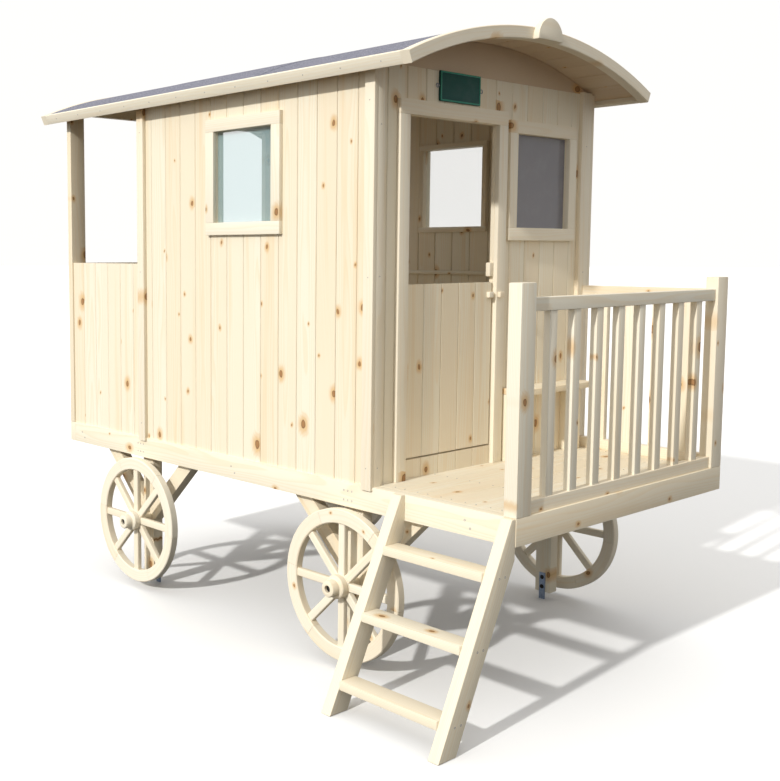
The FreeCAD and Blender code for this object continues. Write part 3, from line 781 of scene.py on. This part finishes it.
def make_walls():
    left_pane, front_glass, right_pane = solids_of("window_glass")
    for side, pane in (("left", left_pane), ("right", right_pane)):
        timber = Timber()
        lo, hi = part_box("wall_" + side)
        outer = max(abs(lo.x - CENTRE_X), abs(hi.x - CENTRE_X))
        boards(timber, lo, hi, "Y", lo.y + SIDE_FIRST_GROOVE, "side" + side, hole_of(pane, "Y"),
               soffit_height(CENTRE_X + outer))
        timber.piece("side_wall_" + side, "hut", "pine", ["wall_" + side])
    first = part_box("front_wall_left")[0].x + GABLE_FIRST_GROOVE
    for name, node, hole in (("front_boards_left", "front_wall_left", None),
                             ("front_boards_right", "front_wall_right", hole_of(front_glass, "X")),
                             ("front_boards_top", "front_gable", None),
                             ("threshold_boards", "door_threshold", None)):
        timber = Timber()
        lo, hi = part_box(node)
        boards(timber, lo, hi, "X", first, "gable", hole)
        timber.piece(name, "hut", "pine", [node])
    timber = Timber()
    for lo, hi in solids_of("bay_parapets"):
        boards(timber, lo, hi, "Y", lo.y + BAY_FIRST_GROOVE, "bay" + str(lo.x > CENTRE_X))
    timber.piece("bay_boards", "hut", "pine", ["bay_parapets"])
    timber = Timber()
    lo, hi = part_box("rear_parapet")
    boards(timber, lo, hi, "X", lo.x + REAR_FIRST_GROOVE, "rear")
    timber.piece("rear_boards", "hut", "pine", ["rear_parapet"])


def make_arch(name, node, wood):
    """A board with a straight foot and a top that follows the curve of the roof."""
    lo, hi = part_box(node)
    half = (hi.x - lo.x) / 2
    steps = 40
    outline = [(-half, lo.z), (half, lo.z)]
    for step in range(steps + 1):
        x = half - 2 * half * step / steps
        outline.append((x, max(soffit_height(CENTRE_X + x), lo.z + 0.0005)))
    place = upright_place(middle(lo, hi).y)
    timber = Timber()
    timber.solid(ease(prism(outline, hi.y - lo.y), 0.0010, 1), place, seed_of(name))
    timber.piece(name, "hut", "pine", [node], wood)


def make_trims():
    timber = Timber()
    for number, (lo, hi) in enumerate(solids_of("corner_trims")):
        side, corner, way = ("right", 1, 1) if lo.x > CENTRE_X else ("left", 0, -1)
        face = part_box("wall_" + side)[corner].x
        rail_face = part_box("chassis_rail_" + side)[corner].x
        outer = (lo, hi)[corner].x
        top = soffit_height(outer)
        # The trim's section steps back over the rail: it is an L seen from the front.
        outline = [(lo.z, outer), (top, outer), (top, face), (DECK_TOP, face),
                   (DECK_TOP, rail_face), (lo.z, rail_face)]
        turn = board_axes("Z", "Y")
        flip = turn.col[1].x
        local = [(z, x * flip) for z, x in outline]
        place = Matrix.Translation(Vector((0, (lo.y + hi.y) / 2, 0))) @ turn
        bm = ease(prism(local, hi.y - lo.y), 0.0015)
        timber.solid(bm, place, seed_of("trim", number))
        for z in (DECK_TOP + 0.06, (DECK_TOP + top) / 2, top - 0.12):
            timber.screw((outer, (lo.y + hi.y) / 2, z), (way, 0, 0), 0.0020)
    timber.piece("side_trims", "hut", "pine", ["corner_trims"], clear_pine)

    timber = Timber()
    for number, (lo, hi) in enumerate(solids_of("gable_corner_boards")):
        outer = max(abs(lo.x - CENTRE_X), abs(hi.x - CENTRE_X))
        top = soffit_height(CENTRE_X + outer)
        bar(timber, lo, Vector((hi.x, hi.y, top)), "Z", seed_of("corner", number), 0.0015)
        for z in (lo.z + 0.06, (lo.z + top) / 2, top - 0.2):
            timber.screw((middle(lo, hi).x, lo.y, z), (0, -1, 0), 0.0020)
    timber.piece("corner_boards", "hut", "pine", ["gable_corner_boards"], clear_pine)
    bars("inside_battens", "wall_battens", "Y")


def make_window_frame(timber, lo, hi, across, width, name):
    """Head and sill across the full width, with the two uprights between them."""
    index = "XYZ".index(across)
    for part, (z0, z1) in (("sill", (lo.z, lo.z + width)), ("head", (hi.z - width, hi.z))):
        bar(timber, Vector((lo.x, lo.y, z0)), Vector((hi.x, hi.y, z1)), across,
            seed_of(name, part), 0.0016)
    for part, start in (("left", lo[index]), ("right", hi[index] - width)):
        low = Vector((lo.x, lo.y, lo.z + width))
        high = Vector((hi.x, hi.y, hi.z - width))
        low[index] = start
        high[index] = start + width
        bar(timber, low, high, "Z", seed_of(name, part), 0.0016)


def long_axis(lo, hi):
    """X for a window in a gable wall, Y for one in a side wall."""
    return "X" if hi.x - lo.x > hi.y - lo.y else "Y"


def make_windows():
    for name, node, width, seed, wood in (
            ("front_window_frame", "window_frame_front", WINDOW_FRAME_WIDTH, "front frame", clear_pine),
            ("side_window_frames", "window_frames_side", WINDOW_FRAME_WIDTH, "side frame", clear_pine),
            ("inner_window_frames", "window_inner_frames", INNER_FRAME_WIDTH, "inner", pine)):
        timber = Timber()
        for number, (lo, hi) in enumerate(solids_of(node)):
            word = seed if node == "window_frame_front" else seed + str(number)
            make_window_frame(timber, lo, hi, long_axis(lo, hi), width, word)
        timber.piece(name, "hut", "pine", [node], wood)

    # The far pane is painted lighter and the front pane darker than the side pane: painted light and
    # painted shade.
    looks = (("pane_left", side_pane), ("pane_front", front_pane_painted_shade), ("pane_right", far_pane_painted_light))
    for (name, glass), (lo, hi) in zip(looks, solids_of("window_glass")):
        timber = Timber()
        bar(timber, lo, hi, long_axis(lo, hi), 0, 0.0005, 1)
        timber.piece(name, "hut", "window_pane", ["window_glass"], glass)


# ================= Rear bay, door =================

def make_rear_frame():
    bars("bay_posts", "rear_posts", "Z", edge=0.0025)
    make_arch("rear_arch_board", "rear_gable_arch", pine)


def make_door():
    bars("casing_uprights", "door_casing_sides", "Z", wood=clear_pine)
    bars("casing_head", "door_casing_head", "X", wood=clear_pine)
    bars("keep_and_stop", "latch_keep_and_stop", "Z", wood=clear_pine, edge=0.003)

    timber = Timber()
    lo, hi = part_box("door_leaf")
    boards(timber, lo, hi, "X", lo.x, "leaf", pitch=(hi.x - lo.x) / DOOR_BOARDS)
    timber.piece("half_door_boards", "half_door", "pine", ["door_leaf"])
    bars("half_door_ledges", "door_ledges", "X", body="half_door")
    bars("latch_block", "door_latch", "X", body="half_door", wood=clear_pine, edge=0.003)
    for node in ("hinge_pins", "hinge_barrels"):
        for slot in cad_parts[node].material_slots:
            slot.material = galvanised


# ================= Roof =================

def arc_place(y):
    """Axes for arcs over the hut: angles are measured from straight up, towards +X."""
    turn = Matrix(((0, 1, 0), (0, 0, 1), (1, 0, 0))).to_4x4()
    return Matrix.Translation(Vector((CENTRE_X, y, ROOF_CENTRE_Z))) @ turn


def make_roof():
    for name, node in (("barge_board_front", "barge_front"), ("barge_board_rear", "barge_rear")):
        lo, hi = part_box(node)
        timber = Timber()
        section = eased_section(ROOF_RADIUS - BARGE_DEPTH, ROOF_RADIUS, 0, hi.y - lo.y, 0.0025)
        swept_ring(timber, section, -EAVE_ANGLE, EAVE_ANGLE, 72, arc_place(lo.y), seed_of(name))
        timber.piece(name, "hut", "pine", [node], clear_pine)

    lo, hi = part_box("roof_boards")
    board_angle = EAVE_ANGLE - math.asin(FASCIA_THICK / ROOF_RADIUS)
    timber = Timber()
    mid_radius = SOFFIT_RADIUS + ROOF_BOARD_THICK / 2
    count = round(2 * board_angle * SOFFIT_RADIUS / BOARD_PITCH)
    width = 2 * board_angle / count * SOFFIT_RADIUS
    turn = board_axes("Y", "Z")
    for board in range(count):
        angle = -board_angle + 2 * board_angle * (board + 0.5) / count
        tilt = Matrix.Translation(Vector((CENTRE_X, 0, ROOF_CENTRE_Z)))
        tilt = tilt @ Matrix.Rotation(angle, 4, "Y") @ Matrix.Translation(Vector((0, 0, mid_radius)))
        outline = [(lo.y, -width / 2), (hi.y, -width / 2), (hi.y, width / 2), (lo.y, width / 2)]
        bm = ease(prism(outline, ROOF_BOARD_THICK - 0.0012), BOARD_CHAMFER, 1)
        timber.solid(bm, tilt @ turn, seed_of("roof", board))
    # The roof boards take the darker pine copy: painted shade.
    timber.piece("vault_boards", "hut", "pine", ["roof_boards"], painted_shade_pine)
    make_felt(board_angle)

    timber = Timber()
    radius = ROOF_RADIUS - BARGE_DEPTH / 2
    half_width = (EAVE_ANGLE - board_angle) / 2 * ROOF_RADIUS
    for number, (lo, hi) in enumerate(solids_of("eave_fascias")):
        way = 1 if lo.x > CENTRE_X else -1
        tilt = Matrix.Rotation(way * (board_angle + EAVE_ANGLE) / 2, 4, "Y")
        place = Matrix.Translation(Vector((CENTRE_X, 0, ROOF_CENTRE_Z))) @ tilt
        low = Vector((-half_width, lo.y, radius - BARGE_DEPTH / 2))
        high = Vector((half_width, hi.y, radius + BARGE_DEPTH / 2 - 0.0006))
        bar(timber, low, high, "Y", seed_of("fascia", number), 0.002, 2, place)
        span = hi.y - lo.y - 2 * FASCIA_SCREW_INSET
        for step in range(FASCIA_SCREWS):
            y = lo.y + FASCIA_SCREW_INSET + span * step / (FASCIA_SCREWS - 1)
            normal = tilt @ Vector((way, 0, 0))
            timber.screw(place @ Vector((way * half_width, y, radius)), normal, 0.0022)
    timber.piece("eave_boards", "hut", "pine", ["eave_fascias"], clear_pine)

    make_crest()


def make_crest():
    """The half round block on the front barge board: its foot follows the board's lower edge."""
    lo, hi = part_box("roof_disc")
    radius = (hi.x - lo.x) / 2
    centre_z = hi.z - radius
    foot_radius = ROOF_RADIUS - BARGE_DEPTH
    outline = []
    for step in range(49):
        angle = math.pi * step / 48
        outline.append((radius * math.cos(angle), centre_z + radius * math.sin(angle)))
    for step in range(13):
        x = radius * (step / 6 - 1)
        outline.append((x, ROOF_CENTRE_Z + math.sqrt(foot_radius ** 2 - x ** 2)))
    outline = [point for index, point in enumerate(outline)
               if index == 0 or (Vector(point) - Vector(outline[index - 1])).length > 0.0006]
    timber = Timber()
    plate = ease(prism(outline, hi.y - lo.y), 0.0028)
    timber.solid(plate, upright_place(middle(lo, hi).y), seed_of("crest"))
    timber.piece("roof_crest", "hut", "pine", ["roof_disc"], clear_pine)


def make_felt(board_angle):
    """Roofing felt in lapped strips across the barrel, with clout nails along its edges."""
    lo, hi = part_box("roof_felt")
    inner = ROOF_RADIUS - 0.001 - FELT_THICK
    timber = Timber()
    length = (hi.y - lo.y + FELT_LAP * (FELT_STRIPS - 1)) / FELT_STRIPS
    for strip in range(FELT_STRIPS):
        start = lo.y + strip * (length - FELT_LAP)
        bottom = inner + (0.0 if strip % 2 == 0 else 0.0012)
        section = eased_section(bottom, bottom + 0.0018, 0, length, 0.0004)
        swept_ring(timber, section, -board_angle, board_angle, 72, arc_place(start), 0)
    nail_radius = inner + 0.0019
    for way in (-1, 1):
        angle = way * (board_angle - 0.012)
        for step in range(FELT_NAILS):
            y = lo.y + 0.04 + (hi.y - lo.y - 0.08) * step / (FELT_NAILS - 1)
            point = Vector((CENTRE_X + nail_radius * math.sin(angle), y,
                            ROOF_CENTRE_Z + nail_radius * math.cos(angle)))
            timber.screw(point, (math.sin(angle), 0, math.cos(angle)), 0.005)
    timber.piece("felt_strips", "hut", "roofing_felt", ["roof_felt"], slate_felt)


def make_sign():
    lo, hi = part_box("sign_plate")
    plate = Timber()
    bar(plate, Vector((lo.x, lo.y + 0.0015, lo.z)), hi, "X", 0, 0.002)
    plate.piece("name_board", "hut", "sign_board", ["sign_plate"], sign_green)
    eyes = Timber()
    for way, x in ((-1, lo.x), (1, hi.x)):
        centre = Vector((x + way * 0.010, hi.y - 0.004, middle(lo, hi).z))
        place = Matrix.Translation(centre) @ Matrix.Rotation(math.pi / 2, 4, "X")
        wire = [(0.0062 + 0.0016 * math.cos(turn * math.pi / 4), 0.0016 * math.sin(turn * math.pi / 4))
                for turn in range(8)]
        swept_ring(eyes, wire, 0, 2 * math.pi, 24, place, 0)
        stem = Matrix.Translation(Vector((x + way * 0.0045, centre.y, centre.z)))
        stem = stem @ Matrix.Rotation(-way * math.pi / 2, 4, "Y")
        lathe(eyes, [(0.0015, 0), (0.0015, 0.007)], stem, 0, 10)
    eyes.piece("sign_eyes", "hut", "galvanised_steel", ["sign_plate"], screw_zinc)
    border = Timber()
    inset, width = 0.0006, 0.0055
    low, high = lo + Vector((inset, 0, inset)), hi - Vector((inset, 0, inset))
    high.y = lo.y + 0.0030
    make_window_frame(border, low, high, "X", width, "border")
    border.piece("name_board_border", "hut", "sign_board", ["sign_plate"], sign_border)


# ================= Porch =================

def railing(name, node, along, count):
    lo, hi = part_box(node)
    index = "XYZ".index(along)
    thin = 1 - index
    timber = Timber()
    for part, z in (("foot", lo.z), ("top", hi.z - HANDRAIL_HEIGHT)):
        low, high = Vector((lo.x, lo.y, z)), Vector((hi.x, hi.y, z + HANDRAIL_HEIGHT))
        bar(timber, low, high, along, seed_of(name, part), 0.003, 3)
    gap = (hi[index] - lo[index] - count * BALUSTER_WIDTH) / (count + 1)
    centre = middle(lo, hi)
    for number in range(count):
        start = lo[index] + gap + number * (gap + BALUSTER_WIDTH)
        low, high = lo.copy(), hi.copy()
        low[index], high[index] = start, start + BALUSTER_WIDTH
        low[thin], high[thin] = centre[thin] - BALUSTER_THICK / 2, centre[thin] + BALUSTER_THICK / 2
        low.z, high.z = lo.z + HANDRAIL_HEIGHT - 0.001, hi.z - HANDRAIL_HEIGHT + 0.001
        bar(timber, low, high, "Z", seed_of(name, number), 0.0025)
    timber.piece(name, "hut", "pine", [node], knotty_pine)


def make_porch():
    bars("corner_posts", "porch_posts", "Z", wood=knotty_pine, edge=0.003)
    railing("front_railing", "railing_front", "X", FRONT_BALUSTERS)
    railing("side_railing", "railing_side", "Y", SIDE_BALUSTERS)
    bars("bench_board", "bench_seat", "X", edge=0.003)
    bars("bench_uprights", "bench_legs", "Z")


def make_ladder():
    timber = Timber()
    for number, (lo, hi) in enumerate(solids_of("ladder_stringers")):
        top_x = lo.x + STRINGER_LEAN * hi.z
        plumb = (hi.x - lo.x - STRINGER_DEPTH) / STRINGER_LEAN
        outline = [(lo.x, 0), (lo.x + STRINGER_DEPTH, 0), (hi.x, plumb), (hi.x, hi.z), (top_x, hi.z)]
        turn = axes_matrix(Vector((STRINGER_LEAN, 0, 1)).normalized(), Vector((0, 1, 0)))
        origin = Vector((lo.x, (lo.y + hi.y) / 2, 0))
        local = []
        for x, z in outline:
            point = turn.inverted() @ (Vector((x, origin.y, z)) - origin)
            local.append((point.x, point.y))
        bm = ease(prism(local, hi.y - lo.y), 0.003, 3)
        timber.solid(bm, Matrix.Translation(origin) @ turn, seed_of("stringer", number))
        outer = lo.y if number == 0 else hi.y
        for tread_lo, tread_hi in solids_of("ladder_treads"):
            for x in (tread_lo.x + 0.030, tread_lo.x + 0.056):
                centre = (x, outer, (tread_lo.z + tread_hi.z) / 2)
                timber.screw(centre, (0, -1 if number == 0 else 1, 0), 0.0032)
    timber.piece("stringers", "hut", "pine", ["ladder_stringers"])
    bars("treads", "ladder_treads", "Y", edge=0.004)


make_chassis()
bars("leg_posts", "legs", "Z")
make_braces()
for wheel_node in sorted(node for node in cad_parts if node.startswith("wheel_front")
                         or node.startswith("wheel_rear")):
    make_wheel(wheel_node)
make_hubs()
make_axles()
make_anchors()
make_walls()
# The front arch board takes the darker pine copy: painted shade under the overhang.
make_arch("front_arch_board", "front_gable_arch", painted_shade_pine)
make_trims()
make_windows()
make_rear_frame()
make_door()
make_roof()
make_sign()
make_porch()
make_ladder()


# ================= Stage, light and camera =================

def make_stage():
    floor = bpy.data.meshes.new("floor")
    reach = 90.0
    floor.from_pydata([(-reach, -reach, 0), (reach, -reach, 0), (reach, reach, 0), (-reach, reach, 0)],
                      [], [(0, 1, 2, 3)])
    s = Shader("studio_floor", Roughness=0.9)
    s.surface.inputs["Base Color"].default_value = (0.93, 0.93, 0.93, 1.0)
    floor.materials.append(s.material)
    stage = bpy.data.objects.new("floor", floor)
    stage.location.z = -0.001
    bpy.context.scene.collection.objects.link(stage)

    stage.visible_diffuse = False
    make_sky()

    sun = bpy.data.lights.new("sun", "SUN")
    sun.energy = 2.85
    sun.angle = math.radians(2)
    sun.color = (1.0, 0.985, 0.95)
    lamp = bpy.data.objects.new("sun", sun)
    to_sun = Vector((-0.87, -0.09, 0.49))
    lamp.rotation_mode = "QUATERNION"
    lamp.rotation_quaternion = to_sun.to_track_quat("Z", "Y")
    bpy.context.scene.collection.objects.link(lamp)


def make_sky():
    """A studio dome: white above the horizon, dimmer in front and dark under the floor."""
    world = bpy.data.worlds.new("studio")
    world.use_nodes = True
    tree = world.node_tree
    background = tree.nodes["Background"]
    background.inputs["Color"].default_value = (1.0, 0.99, 0.97, 1.0)
    place = tree.nodes.new("ShaderNodeTexCoord")
    axes = tree.nodes.new("ShaderNodeSeparateXYZ")
    tree.links.new(place.outputs["Generated"], axes.inputs[0])
    parts = []
    for axis, low, high, start, end in (("Z", -0.15, -0.02, 0.04, 1.02), ("Y", -0.9, 0.1, 0.68, 1.0)):
        part = tree.nodes.new("ShaderNodeMapRange")
        part.interpolation_type = "SMOOTHSTEP"
        for socket, value in zip(("From Min", "From Max", "To Min", "To Max"), (low, high, start, end)):
            part.inputs[socket].default_value = value
        tree.links.new(axes.outputs[axis], part.inputs["Value"])
        parts.append(part.outputs["Result"])
    strength = tree.nodes.new("ShaderNodeMath")
    strength.operation = "MULTIPLY"
    tree.links.new(parts[0], strength.inputs[0])
    tree.links.new(parts[1], strength.inputs[1])
    tree.links.new(strength.outputs[0], background.inputs["Strength"])
    bpy.context.scene.world = world


def make_camera():
    camera = bpy.data.cameras.new("camera")
    camera.sensor_fit = "HORIZONTAL"
    camera.sensor_width = 36.0
    camera.lens = 50.56
    camera.shift_x = 0.198
    camera.shift_y = -0.042
    camera.clip_end = 200.0
    seen_from = bpy.data.objects.new("camera", camera)
    # From the middle of the chassis' front rim: out to the ladder side, forwards, and up.
    seen_from.location = Vector((CENTRE_X - 3.1565, rim_lo.y - 1.7963, 1.3705))
    seen_from.rotation_euler = (math.radians(84.49), 0.0, math.radians(-40.26))
    bpy.context.scene.collection.objects.link(seen_from)
    bpy.context.scene.camera = seen_from


make_stage()
make_camera()
bpy.context.scene.view_settings.view_transform = "Standard"
